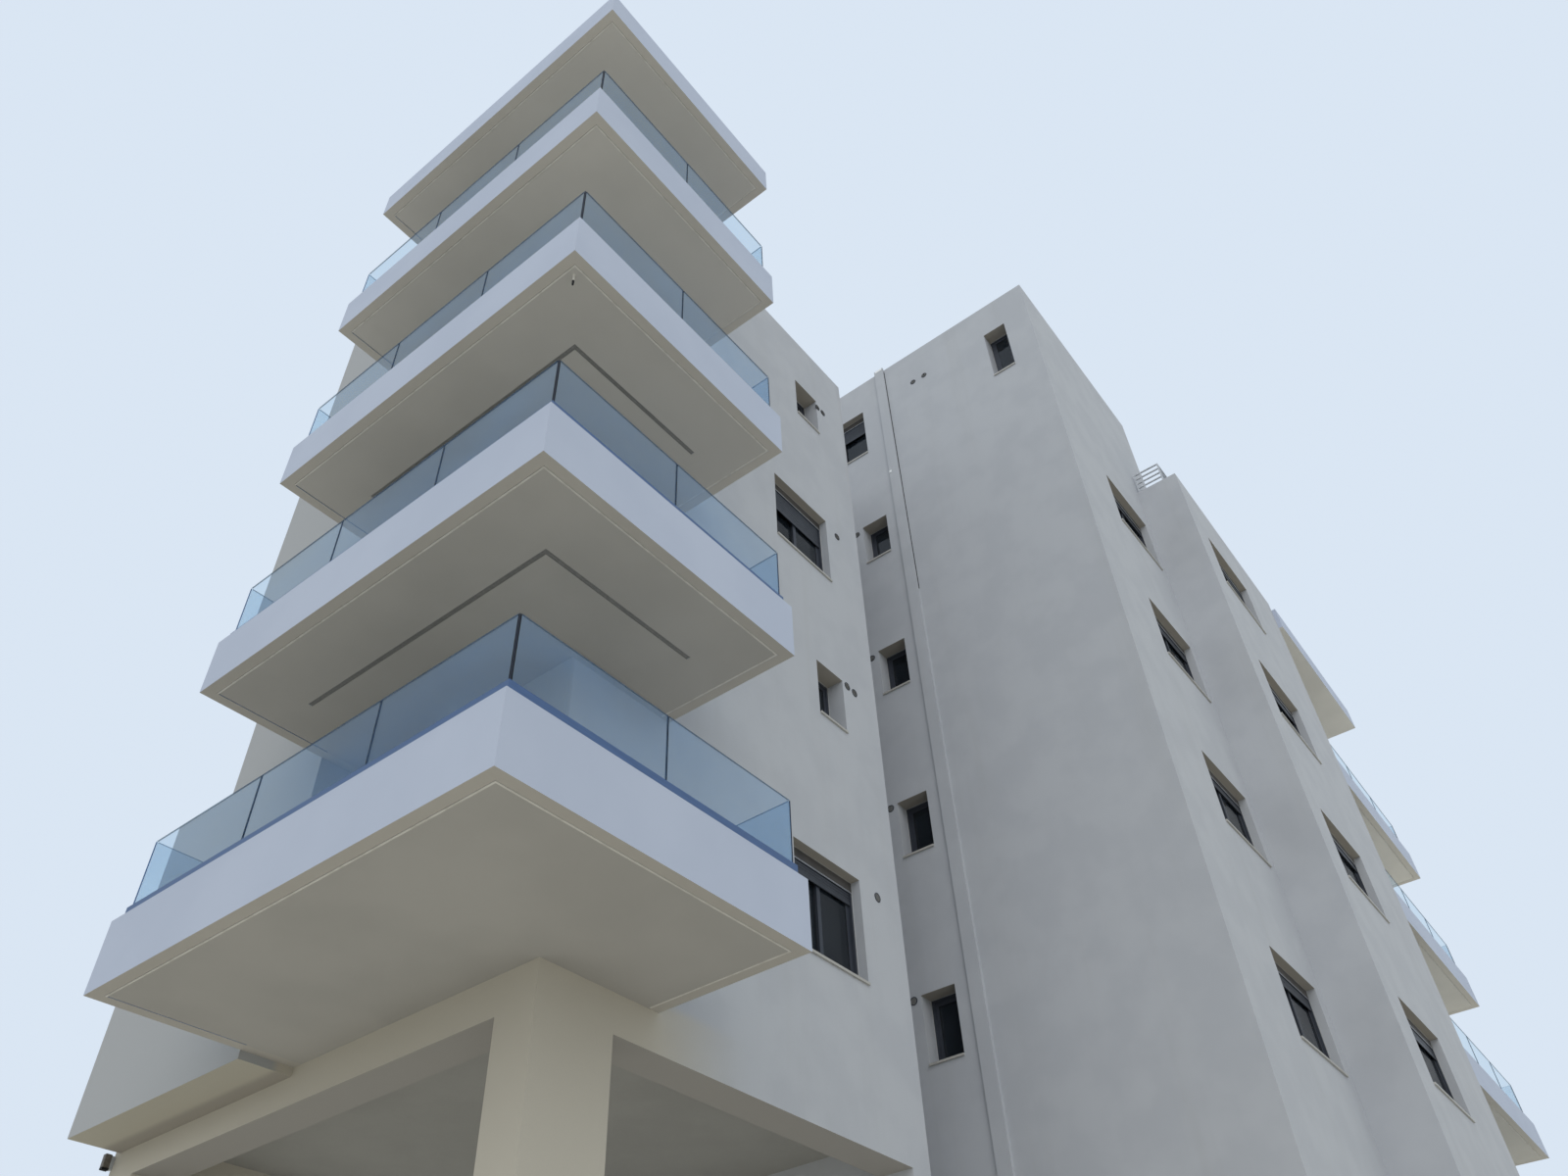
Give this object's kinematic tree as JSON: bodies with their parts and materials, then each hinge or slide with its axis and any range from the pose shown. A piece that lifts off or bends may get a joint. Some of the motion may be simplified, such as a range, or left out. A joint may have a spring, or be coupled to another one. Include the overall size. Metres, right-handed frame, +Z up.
{
  "type": "apartment block with glass-railed corner balconies",
  "caption": "Apartment block of rendered concrete with blocks stepping forward, corner balconies behind glass guards, roof canopies, a light well and an open ground level on columns.",
  "frame": {"origin": "middle of the building's plan box, at paving level", "axes": "+X to the right along the long front, +Y into the building towards the back, +Z up"},
  "size_m": [25.5, 10.195, 22.55],
  "materials": {
    "wall_render": "matte",
    "balcony_render": "matte",
    "floor_concrete": "matte",
    "guard_glass": "gloss",
    "channel_metal": "satin",
    "guard_paint": "satin",
    "frame_charcoal": "satin",
    "window_glass": "gloss",
    "sill_stone": "honed",
    "seal_rubber": "matte",
    "drip_plastic": "matte",
    "balcony_tile": "matte",
    "roof_membrane": "matte",
    "slat_paint": "satin",
    "grille_metal": "satin",
    "zinc_steel": "satin"
  },
  "bodies": {
    "root": {"columns": "wall_render", "left_side_wall": "wall_render", "left_front_wall": "wall_render", "left_well_wall": "wall_render", "left_bay": "wall_render", "well_back_wall": "wall_render", "wing_side_wall": "wall_render", "wing_side_wall_middle": "wall_render", "wing_side_wall_top": "wall_render", "wing_front_wall": "wall_render", "wing_right_wall": "wall_render", "wing_chase": "wall_render", "middle_side_wall": "wall_render", "middle_front_wall": "wall_render", "middle_right_wall": "wall_render", "right_front_wall": "wall_render", "right_side_wall": "wall_render", "back_wall": "wall_render", "floor_0": "floor_concrete", "floor_1": "floor_concrete", "floor_2": "floor_concrete", "floor_3": "floor_concrete", "floor_4": "floor_concrete", "floor_5": "floor_concrete", "wing_roof": "floor_concrete", "left_balcony_1": "balcony_render", "right_balcony_1": "balcony_render", "left_balcony_2": "balcony_render", "right_balcony_2": "balcony_render", "left_balcony_3": "balcony_render", "right_balcony_3": "balcony_render", "left_balcony_4": "balcony_render", "right_balcony_4": "balcony_render", "left_canopy": "balcony_render", "right_canopy": "balcony_render", "left_guard_glass": "guard_glass", "right_guard_glass": "guard_glass", "guard_channels": "channel_metal", "roof_guard": "guard_paint", "front_window_frames": "frame_charcoal", "side_window_frames": "frame_charcoal", "rear_window_frames": "frame_charcoal", "balcony_door_frames": "frame_charcoal", "window_panes": "window_glass", "balcony_door_panes": "window_glass", "window_sills": "sill_stone"}
  },
  "joints": []
}
